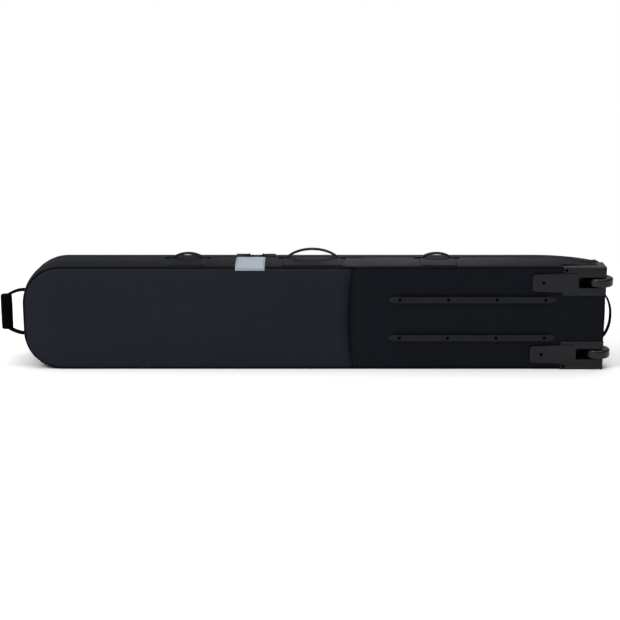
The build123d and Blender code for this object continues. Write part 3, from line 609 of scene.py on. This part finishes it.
def tail_gusset():
    """The end wall between the housings, and the strip in front of them up to the zip."""
    rows = []
    end_angle = math.asin(taper_length / taper_radius)
    swell = 0.0015
    between_housings = z_mid - flange_width - body_gap
    stations = [((x_tail, y), between_housings) for y in spaced(y_back + seam, y_end_wall, 0.006)]
    for a in spaced(end_angle, lid_end_angle + body_gap / taper_radius, 0.02):
        place = (x_taper + taper_radius * math.sin(a), y_taper_centre + taper_radius * math.cos(a))
        stations.append((place, z_mid - tail_radius))
    for (x, y), half in stations:
        row = []
        for v in spaced(-1, 1, 2 / 24):
            row.append((x + swell * (1 - v * v), y, z_mid + half * v))
        rows.append(row)
    piece = link(
        "tail_gusset", sheet_mesh("tail_gusset", rows), [gusset_cloth, lining],
        nodes=("gusset_tail",),
    )
    thicken(piece, cloth_thickness, 1)


side_gusset()
bottom_gusset()
tail_gusset()


# ------------------------------------------------------------------ front panel and its lip
def plan_station(run):
    """A place on the front face, run along it from the start of the curve (negative before it)."""
    if run <= 0:
        return Vector((x_taper + run, y_front, 0)), Vector((0, 1, 0))
    a = run / taper_radius
    out = Vector((math.sin(a), math.cos(a), 0))
    return Vector((x_taper, y_taper_centre, 0)) + taper_radius * out, out


def front_panel():
    """The padded face of the lid, curved in towards the wheel end."""
    rows = []
    last = lid_end_angle * taper_radius - 0.0006
    for run in spaced(x_tip + panel_edge - x_taper, last, 0.009):
        base, out = plan_station(run)
        half = half_height(min(base.x, x_tail - tail_radius), panel_edge)
        row = []
        for v in spaced(-1, 1, 2 / 40):
            z = z_mid + half * v
            near = min(edge_distance(base.x, z), max(last - run, 0.0))
            pillow = 1 - math.exp(-near / 0.020)
            lift = 0.0036 * pillow + 0.0008 * folds(base.x, z, 0.13, 12.0) * pillow - bead * 0.8
            row.append(base + out * lift + Vector((0, 0, z)))
        rows.append(row)
    piece = link(
        "front_panel", sheet_mesh("front_panel", rows), [back_cloth, lining],
        body="front_lid", nodes=("lid_panel",),
    )
    thicken(piece, panel_loft, 1)


def zip_line(step):
    """Stations along the zip, from the bottom of the wheel end, over the top and round the tip.

    Each is a point on the wall, the way out of the wall, and the way across to the front panel.
    """
    a = lid_end_angle
    out, back = Vector((math.sin(a), math.cos(a), 0)), Vector((-math.cos(a), math.sin(a), 0))
    centre = Vector((x_taper, y_taper_centre, 0))
    up = Vector((0, 0, 1))
    line = []
    for z in spaced(zip_foot, z_top - 0.004, step):
        line.append((centre + taper_radius * out + Vector((0, 0, z)), out, back))
    for r in spaced(taper_radius - 0.004, split_radius + 0.004, step):
        line.append((centre + r * out + Vector((0, 0, z_top)), up, back))
    for turn in spaced(a - 0.02, 0, step / split_radius):
        ray = Vector((math.sin(turn), math.cos(turn), 0))
        line.append((centre + split_radius * ray + Vector((0, 0, z_top)), up, ray))
    front = Vector((0, 1, 0))
    for x in spaced(x_taper - step, x_tip_straight + step, step):
        line.append((Vector((x, y_split, z_top)), up, front))
    for x, z, nx, nz in tip_turns(1, step):
        line.append((Vector((x, y_split, z)), Vector((nx, 0, nz)), front))
    for z in spaced(z_top - tip_radius - step, tip_radius + step, step):
        line.append((Vector((x_tip, y_split, z)), Vector((-1, 0, 0)), front))
    for x, z, nx, nz in reversed(tip_turns(-1, step)):
        if z > zip_foot:
            line.append((Vector((x, y_split, z)), Vector((nx, 0, nz)), front))
    return line


def front_lip():
    """The lid's own strip of gusset, from the zip to the front seam."""
    rows = []
    top = []
    for a in spaced(lid_end_angle, 0, 0.035):
        ray = Vector((math.sin(a), math.cos(a), 0))
        top.append((Vector((x_taper, y_taper_centre, z_top)) + split_radius * ray, Vector((0, 0, 1)), ray))
    for x in spaced(x_taper - 0.008, x_tip_straight + 0.002, 0.010):
        top.append((Vector((x, y_split, z_top)), Vector((0, 0, 1)), Vector((0, 1, 0))))
    for sign in (1, -1):
        turns = tip_turns(sign, 0.008)
        for x, z, nx, nz in turns if sign > 0 else reversed(turns):
            top.append((Vector((x, y_split, z)), Vector((nx, 0, nz)), Vector((0, 1, 0))))
    for point, out, across in top:
        row = []
        for t in spaced(0, 1, 1 / 8):
            lift = 0.0018 * math.sin(math.pi * t) * (1 if out.z > -0.5 else 0)
            row.append(point + across * (body_gap + t * (lip_depth - seam)) + out * lift)
        rows.append(row)
    piece = link(
        "front_lip", sheet_mesh("front_lip", rows), [gusset_cloth, lining],
        body="front_lid", nodes=("lid_lip_top", "lid_lip_tip"),
    )
    thicken(piece, cloth_thickness, 1)


front_panel()
front_lip()


# ------------------------------------------------------------------ zip
def zip_tape(name, side, body, node):
    """One tape of the zip, sewn flat along its edge of the opening."""
    rows = []
    for point, out, across in zip_line(0.008):
        row = []
        for offset in (body_gap, 0.0015, 0.004, 0.008, tape_width - 0.001, tape_width):
            place = point + across * side * offset
            swell = crown(place.x, place.y) if side < 0 and out.z > 0.99 else 0.0
            row.append(place + out * (0.0007 + swell + (0.0002 if offset < tape_width else -0.0003)))
        rows.append(row)
    piece = link(name, sheet_mesh(name, rows), [tape_cloth], body=body, nodes=(node,))
    thicken(piece, 0.0007)


def zip_coil(name, side, body, node):
    """Coil teeth: one rounded loop of nylon each, sewn side by side along the tape."""
    body_mesh = bmesh.new()
    line = zip_line(0.003)
    for index in range(1, len(line) - 1):
        point, out, across = line[index]
        run = (line[index + 1][0] - line[index - 1][0]).normalized()
        base = point + out * 0.0011
        loop = [
            base + across * side * 0.0001 + out * 0.0010,
            base + across * side * 0.0010 + out * 0.0019,
            base + across * side * 0.0030 + out * 0.0017,
            base + across * side * coil_width + out * 0.0006,
        ]
        last = None
        for place in loop:
            ring = []
            for k in range(5):
                turn = 2 * math.pi * k / 5
                spoke = math.cos(turn) * run + math.sin(turn) * out
                ring.append(body_mesh.verts.new(place + tooth_radius * spoke))
            if last:
                for k in range(5):
                    body_mesh.faces.new((last[k], last[(k + 1) % 5], ring[(k + 1) % 5], ring[k]))
            else:
                body_mesh.faces.new(ring)
            last = ring
        body_mesh.faces.new(list(reversed(last)))
    bmesh.ops.recalc_face_normals(body_mesh, faces=body_mesh.faces)
    mesh = bpy.data.meshes.new(name)
    body_mesh.to_mesh(mesh)
    body_mesh.free()
    link(name, mesh, [coil_nylon], body=body, nodes=(node,))


zip_tape("bag_zip_tape", -1, "bag", "zip_tape_bag")
zip_tape("lid_zip_tape", 1, "front_lid", "zip_tape_lid")
zip_coil("bag_zip_coil", -1, "bag", "zip_coil_bag")
zip_coil("lid_zip_coil", 1, "front_lid", "zip_coil_lid")


# ------------------------------------------------------------------ webbing, patches and grip
def ribbon(name, path, across, width, thickness, material=webbing_cloth, body="bag", nodes=()):
    """A flat woven strap along a path, with rounded selvedges."""
    path = [Vector(point) for point in path]
    across = Vector(across).normalized()
    half, thin = width / 2, thickness / 2
    ring = [(-half, 0.0)]
    for side, order in ((1, 1), (-1, -1)):
        for k in range(7):
            place = order * (-half + thin + (width - thickness) * k / 6)
            ring.append((place, side * thin * (1 + 0.06 * (k % 2))))
        if side > 0:
            ring.append((half, 0.0))
    rows = []
    for k, point in enumerate(path):
        run = (path[min(k + 1, len(path) - 1)] - path[max(k - 1, 0)]).normalized()
        up = run.cross(across).normalized()
        rows.append([point + across * a + up * b for a, b in ring])
    mesh = sheet_mesh(name, rows, around=True)
    body_mesh = bmesh.new()
    body_mesh.from_mesh(mesh)
    edges = [edge for edge in body_mesh.edges if edge.is_boundary]
    bmesh.ops.holes_fill(body_mesh, edges=edges, sides=len(ring))
    bmesh.ops.recalc_face_normals(body_mesh, faces=body_mesh.faces)
    body_mesh.to_mesh(mesh)
    body_mesh.free()
    return link(name, mesh, [material], body=body, nodes=nodes)


stitch_lines = {"bag": [], "front_lid": []}


def stitch(line, body="bag"):
    """Notes a line of stitches, to be sewn when everything is in place."""
    stitch_lines[body].append([Vector(point) for point in line])


def sew(name, lines, body, pitch=0.0045, length=0.0031, radius=0.00045):
    """Every stitch as its own small rounded thread."""
    mesh_maker = bmesh.new()
    for line in lines:
        due = pitch / 2
        for start_point, end_point in zip(line, line[1:]):
            run = end_point - start_point
            reach = run.length
            if reach < 1e-7:
                continue
            run.normalize()
            side = run.orthogonal().normalized()
            other = run.cross(side)
            while due < reach:
                middle = start_point + run * due
                tips = [mesh_maker.verts.new(middle + run * (end * length / 2)) for end in (-1, 1)]
                rings = []
                for end in (-1, 1):
                    centre = middle + run * (end * length * 0.3)
                    rings.append(
                        [
                            mesh_maker.verts.new(
                                centre + radius * (math.cos(2.094 * k) * side + math.sin(2.094 * k) * other)
                            )
                            for k in range(3)
                        ]
                    )
                for k in range(3):
                    d = (k + 1) % 3
                    mesh_maker.faces.new((rings[0][k], rings[0][d], rings[1][d], rings[1][k]))
                    mesh_maker.faces.new((tips[0], rings[0][d], rings[0][k]))
                    mesh_maker.faces.new((tips[1], rings[1][k], rings[1][d]))
                due += pitch
            due -= reach
    bmesh.ops.recalc_face_normals(mesh_maker, faces=mesh_maker.faces)
    mesh = bpy.data.meshes.new(name)
    mesh_maker.to_mesh(mesh)
    mesh_maker.free()
    link(name, mesh, [thread], body=body)


def top_point(x, y, lift):
    """A place on the top gusset, lifted off the cloth."""
    return Vector((x, y, z_top + crown(x, y) + lift))


def top_patch(name, node):
    """A reinforcement patch that follows the crown of the gusset, stitched near its edge."""
    low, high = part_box(node)
    x_low, x_high, y_low, y_high = low.x, high.x, low.y, high.y
    rows = []
    for x in spaced(x_low, x_high, 0.005):
        rows.append([top_point(x, y, 0.0011) for y in spaced(y_low, y_high, 0.006)])
    piece = link(name, sheet_mesh(name, rows), [gusset_cloth], nodes=(node,))
    thicken(piece, 0.0009)
    lift = 0.0016
    xs, ys = spaced(x_low + hem, x_high - hem, 0.006), spaced(y_low + hem, y_high - hem, 0.006)
    stitch([top_point(x, y_low + hem, lift) for x in xs] + [top_point(x_high - hem, y, lift) for y in ys])
    stitch([top_point(x_low + hem, y, lift) for y in ys] + [top_point(x, y_high - hem, lift) for x in xs])


def contrast_band():
    """The pale patch, sewn over the top gusset and turned down over the back seam."""
    low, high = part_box("contrast_patch")
    rows = []
    y_start = high.y
    z_edge = z_top - 0.004
    y_turn = y_back + 0.0035  # where the band turns down over the piping
    bend = 0.0052
    for x in spaced(low.x, high.x, 0.005):
        row = [top_point(x, y, 0.0012) for y in spaced(y_start, y_turn, 0.006)]
        for turn in spaced(0.2, math.pi / 2, 0.2):
            row.append(Vector((x, y_turn - bend * math.sin(turn), z_edge + bend * math.cos(turn))))
        for drop in spaced(0.002, z_edge - low.z, 0.002):
            depth = soft_panel_depth(x, z_edge - drop)
            y_panel = y_back + bead * 0.9 - depth - 0.0012
            row.append(Vector((x, min(y_turn - bend, y_panel), z_edge - drop)))
        rows.append(row)
    piece = link(
        "contrast_band", sheet_mesh("contrast_band", rows), [contrast_cloth],
        nodes=("contrast_patch",),
    )
    thicken(piece, 0.0008)
    for x in (low.x + hem, high.x - hem):
        stitch([top_point(x, y, 0.0020) for y in spaced(y_start - hem, y_turn + 0.002, 0.006)])


def box_stitch(x_low, x_high, y_low, y_high, height):
    """The boxed cross that holds the foot of a handle."""
    corners = [(x_low, y_low), (x_high, y_low), (x_high, y_high), (x_low, y_high)]
    order = [corners[0], corners[1], corners[2], corners[3], corners[0], corners[2]]
    stitch([Vector((x, y, height(x, y))) for x, y in order])
    stitch([Vector((x, y, height(x, y))) for x, y in (corners[1], corners[3])])


def top_strap(name, node):
    """A carrying loop: two stitched feet on its patch and a smooth arch between them."""
    low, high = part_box(node)
    middle, half = (low.x + high.x) / 2, (high.x - low.x) / 2
    y_handle, width = (low.y + high.y) / 2, high.y - low.y
    peak = high.z + slack_share * (high.z - z_top) - loop_thickness / 2
    rise = peak - (z_top + crown(low.x, y_handle) + foot_lift)
    path = []
    for u in spaced(-1, 1, 1 / 22):
        shape = (1 - abs(u) ** 2.1) ** 0.85
        x = middle + half * u
        z = z_top + crown(x, y_handle) * (1 - shape) + foot_lift + rise * shape
        path.append(Vector((x, y_handle, z)))
    for side in (-1, 1):
        foot = [
            top_point(middle + side * (half + d), y_handle, foot_lift)
            for d in spaced(0.002, foot_length, 0.004)
        ]
        path = list(reversed(foot)) + path if side < 0 else path + foot
    piece = ribbon(name, path, (0, 1, 0), width, loop_thickness, loop_cloth, body=None, nodes=(node,))
    base = z_top + crown(middle, y_handle)
    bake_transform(piece)
    for side in (-1, 1):
        ends = sorted((middle + side * (half + 0.004), middle + side * (half + foot_length - 0.003)))
        box_stitch(
            ends[0], ends[1], y_handle - width / 2 + 0.003, y_handle + width / 2 - 0.003,
            lambda x, y: z_top + crown(x, y_handle) + foot_lift + loop_thickness * 0.55,
        )


for place in ("tip", "carry", "tail"):
    top_patch(f"{place}_handle_patch", f"handle_patch_{place}")
    top_strap(f"{place}_handle", f"handle_{place}")
contrast_band()


def tip_end_strap():
    """The grab handle of the rounded end, its feet sewn flat on the two corners."""
    low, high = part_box("handle_tip_end")
    half = (high.z - low.z) / 2 - webbing_thickness / 2
    y_handle, width = (low.y + high.y) / 2, high.y - low.y
    x_out = low.x + webbing_thickness / 2
    grip_half = (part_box("tip_grip")[1].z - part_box("tip_grip")[0].z) / 2
    centre_z = z_mid - tip_radius
    first = math.asin((half - centre_z) / tip_radius)
    lift = 0.0034
    upper = []
    for turn in spaced(first + foot_length / tip_radius, first, 0.03):
        reach = tip_radius + lift
        upper.append((x_tip_straight - reach * math.cos(turn), centre_z + reach * math.sin(turn)))
    x_wall = upper[-1][0]
    x_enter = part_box("tip_grip")[1].x - 0.009
    for t in spaced(0.06, 1.0, 0.06):
        bow = 0.0035 * math.sin(math.pi * t)
        upper.append((x_wall + (x_enter - x_wall) * t, half + (grip_half - half) * t**1.4 + bow))
    upper.append(((x_enter + x_out) / 2, grip_half - 0.005))
    path = [(x, y_handle, z_mid + z) for x, z in upper]
    inside = grip_half - 0.014
    path += [(x_out + 0.004, y_handle, z_mid + z) for z in spaced(inside, -inside, 0.012)]
    path += [(x, y_handle, z_mid - z) for x, z in reversed(upper)]
    piece = ribbon(
        "tip_end_handle", path, (0, 1, 0), width, grab_thickness, body=None, nodes=("handle_tip_end",)
    )
    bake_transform(piece)
    for side in (-1, 1):
        line = []
        for turn in spaced(first + 0.03, first + foot_length / tip_radius - 0.03, 0.03):
            reach = tip_radius + lift + 0.0035
            z = z_mid + side * (centre_z + reach * math.sin(turn))
            line.append((x_tip_straight - reach * math.cos(turn), z))
        for offset in (-0.4, 0.4):
            stitch([Vector((x, y_handle + offset * width, z)) for x, z in line])
        stitch([Vector((line[0][0], y_handle + k * width, line[0][1])) for k in (-0.4, 0.4)])
        stitch([Vector((line[-1][0], y_handle + k * width, line[-1][1])) for k in (-0.4, 0.4)])


def grip_wrap():
    """Padded sleeve round the grab handle: one turn of quilted cloth lapped over itself."""
    low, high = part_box("tip_grip")
    centre = (low + high) / 2
    half_x, half_y, half_z = (high - low) / 2
    rows = []
    core = 0.35
    stations = [(-1.0, core), (-1.0, 0.80), (-0.985, 0.93), (-0.95, 0.99)]
    stations += [(v, 1.0 + 0.035 * (1 - v * v)) for v in spaced(-0.9, 0.9, 0.1)]
    stations += [(0.95, 0.99), (0.985, 0.93), (1.0, 0.80), (1.0, core)]
    sides = 40
    for v, scale in stations:
        row = []
        for k in range(sides):
            turn = 2 * math.pi * k / sides
            lap = 0.94 + 0.06 * ((k / sides + 0.38) % 1.0)
            cos, sin = math.cos(turn), math.sin(turn)
            round_off = (abs(cos) ** 3.2 + abs(sin) ** 3.2) ** (-1 / 3.2)
            pucker = 1 + 0.012 * folds(turn * 0.02, v * 0.05, 0.02, 4.0)
            reach = scale * lap * round_off * pucker
            row.append(centre + Vector((half_x * reach * cos, half_y * reach * sin, half_z * v)))
        rows.append(row)
    mesh = sheet_mesh("grip_wrap", rows, around=True)
    piece = link(
        "grip_wrap", mesh, [grip_cloth], body="end_loop_tip", nodes=("tip_grip",)
    )
    thicken(piece, 0.002)


def tail_end_strap():
    """The thin strap over the wheel end, its ends caught under the housings."""
    low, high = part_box("handle_tail_end")
    half = (high.z - low.z) / 2 - webbing_thickness / 2
    y_handle, width = (low.y + high.y) / 2, high.y - low.y
    x_foot, x_out = x_tail + 0.0026, high.x - webbing_thickness / 2
    path = []
    for u in spaced(-1, 1, 1 / 20):
        shape = (1 - abs(u) ** 2.2) ** 0.8
        path.append((x_foot + (x_out - x_foot) * shape, y_handle, z_mid + half * u))
    piece = ribbon(
        "tail_end_handle", path, (0, 1, 0), width, strap_thickness, body=None, nodes=("handle_tail_end",)
    )
    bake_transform(piece)


tip_end_strap()
grip_wrap()
tail_end_strap()


# ------------------------------------------------------------------ inside of the bag
def quilted_base_pad():
    """Foam pad over the board, quilted crosswise."""
    low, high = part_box("base_pad")
    rows = []
    for x in spaced(low.x, high.x, 0.008):
        row = []
        for z in spaced(low.z, high.z, 0.008):
            channel = math.exp(-((((x - low.x) % 0.098) - 0.049) / 0.006) ** 2)
            rim = min(x - low.x, high.x - x, z - low.z, high.z - z)
            puff = 1 - math.exp(-rim / 0.012)
            row.append((x, high.y - 0.0035 * channel + 0.0018 * puff - 0.001, z))
        rows.append(row)
    mesh = sheet_mesh("quilted_base_pad", rows)
    piece = link("quilted_base_pad", mesh, [foam_cloth], nodes=("base_pad",))
    thicken(piece, 0.0042, shows_outside=False)


def tie_down_straps():
    """The two straps that hold the board, slack between their anchors."""
    low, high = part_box("tie_straps")
    width = 0.025
    for number, x in enumerate((low.x + width / 2, high.x - width / 2)):
        path = []
        for z in spaced(low.z, high.z, 0.006):
            slack = 0.0028 * math.sin(math.pi * (z - low.z) / (high.z - low.z) * 4) ** 2
            slack *= 1 if abs(z - z_mid) > 0.03 else 0
            path.append((x, (low.y + high.y) / 2 + slack, z))
        nodes = ("tie_straps",) if number == 0 else ()
        ribbon(f"tie_down_strap_{number + 1}", path, (1, 0, 0), width, 0.0014, nodes=nodes)


quilted_base_pad()
tie_down_straps()


# ------------------------------------------------------------------ top-stitching
def seam_stitching():
    """Rows of stitches beside the piping and along both zip tapes."""
    inset = 0.0095
    outline = []
    for x in spaced(x_crease - 0.012, x_tip + inset + 0.0001, 0.006):
        outline.append((x, z_mid + half_height(x, inset)))
    for sign in (1, -1):
        stitch([(x, y_back + bead * 0.9 - soft_panel_depth(x, z_mid + sign * (z - z_mid)) - 0.0003,
                 z_mid + sign * (z - z_mid)) for x, z in outline])
    for side, body in ((-1, "bag"), (1, "front_lid")):
        for offset in (0.0065, tape_width - 0.0012):
            line = []
            for point, out, across in zip_line(0.009):
                place = point + across * side * offset
                swell = crown(place.x, place.y) if side < 0 and out.z > 0.99 else 0.0
                line.append(place + out * (0.0015 + swell))
            stitch(line, body)


seam_stitching()
for body, lines in stitch_lines.items():
    sew(f"{body}_stitching", lines, body)


# ------------------------------------------------------------------ carried-over CAD pieces
carried = {
    edge_cloth: ("crease_piping",),
    piping_skin: ("back_piping", "front_piping"),
    rail_plastic: ("skid_rail_upper", "skid_rail_lower"),
    housing_plastic: ("wheel_housing_upper", "wheel_housing_lower"),
    black_steel: ("rail_screws", "housing_screws"),
    plated_steel: (
        "axle_upper", "axle_lower", "rail_nuts", "housing_nuts",
        "bearings_upper", "bearings_lower", "spacers_upper", "spacers_lower",
    ),
    tyre_rubber: ("tyre_upper", "tyre_lower"),
    hub_plastic: ("hub_upper", "hub_lower"),
    board_plastic: ("base_board",),
    buckle_plastic: ("tie_buckles",),
    slider_metal: ("zip_slider_tip", "zip_slider_tail"),
    pull_rubber: ("zip_pull_tip", "zip_pull_tail"),
}
for material, names in carried.items():
    for name in names:
        for holder in CAD[name].material_slots:
            holder.material = material


# ------------------------------------------------------------------ moulded rims of the housings
def housing_rim(name, sign):
    """A rounded bead moulded round the outer corner of a housing."""
    rim = 0.0045
    y_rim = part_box("wheel_housing_upper")[0].y + 0.0060
    edge = z_mid - rim * 0.9
    inner = z_mid - tail_radius
    path = [(x, edge) for x in spaced(x_flange + 0.002, x_tail - tail_radius, 0.008)]
    reach = tail_radius - rim * 0.9
    for turn in spaced(0.1, math.pi / 2, 0.15):
        path.append((x_tail - tail_radius + reach * math.sin(turn), inner + reach * math.cos(turn)))
    path += [(x_tail - rim * 0.9, z) for z in spaced(inner - 0.006, z_mid - flange_width + 0.004, 0.008)]
    rim_mesh = tube_mesh(name, [(x, y_rim, z_mid + sign * z) for x, z in path], rim, 12)
    link(name, rim_mesh, [housing_plastic])


housing_rim("housing_rim_upper", 1)
housing_rim("housing_rim_lower", -1)


# ------------------------------------------------------------------ camera, light and floor
def look_at(thing, target):
    """Turns a camera or a lamp to face a point."""
    thing.rotation_euler = (Vector(target) - thing.location).to_track_quat("-Z", "Y").to_euler()


def front_camera():
    """A long lens a little above the bag, square on to the face with the skid rails."""
    distance, elevation = 4.4, math.radians(14.4)
    lens = bpy.data.cameras.new("studio_camera")
    lens.sensor_width, lens.lens = 36.0, 88.0
    lens.clip_end = 60.0
    camera = bpy.data.objects.new("studio_camera", lens)
    aim = Vector((-0.011, y_back, 0.1785))
    camera.location = aim + distance * Vector((0.0, -math.cos(elevation), math.sin(elevation)))
    look_at(camera, aim)
    bpy.context.collection.objects.link(camera)
    bpy.context.scene.camera = camera


def soft_light(name, place, target, size, power):
    """A rectangular soft box."""
    lamp = bpy.data.lights.new(name, "AREA")
    lamp.shape, lamp.size, lamp.size_y, lamp.energy = "RECTANGLE", size[0], size[1], power
    box = bpy.data.objects.new(name, lamp)
    box.location = place
    look_at(box, target)
    bpy.context.collection.objects.link(box)


def studio():
    """White floor, even sky and three soft boxes."""
    world = bpy.data.worlds.new("studio_air")
    world.use_nodes = True
    tree = world.node_tree
    air = tree.nodes["Background"]
    seen = put(tree, "ShaderNodeLightPath", {})
    level = put(
        tree, "ShaderNodeMapRange", {"Value": seen.outputs["Is Camera Ray"], "To Min": 0.36, "To Max": 1.0}
    )
    tree.links.new(level.outputs["Result"], air.inputs["Strength"])
    air.inputs["Color"].default_value = (1.0, 1.0, 1.0, 1.0)
    bpy.context.scene.world = world
    bpy.context.scene.view_settings.view_transform = "Standard"
    soft_light("overhead_box", (0.0, -0.8, 5.0), (0.0, -0.8, 0.0), (7.0, 7.0), 340.0)
    soft_light("left_key", (-2.2, -2.4, 2.8), (-0.1, 0.0, 0.15), (1.1, 1.1), 70.0)
    soft_light("back_strip", (0.42, 2.4, 1.35), (0.34, 0.0, z_top), (0.7, 0.5), 4.5)
    half, behind = 3.2, 1.3
    mesh = bpy.data.meshes.new("studio_floor")
    corners = [(-half, -half, 0), (half, -half, 0), (half, behind, 0), (-half, behind, 0)]
    mesh.from_pydata(corners, [], [(0, 1, 2, 3)])
    floor = bpy.data.objects.new("studio_floor", mesh)
    bpy.context.collection.objects.link(floor)
    # Matt emulsion rolled on board: white with no gleam, so that the shadow falls soft.
    paint, tree, coat = start("white_sweep", Roughness=0.9)
    coat.inputs["Base Color"].default_value = (0.88, 0.88, 0.88, 1.0)
    mesh.materials.append(paint)


front_camera()
studio()
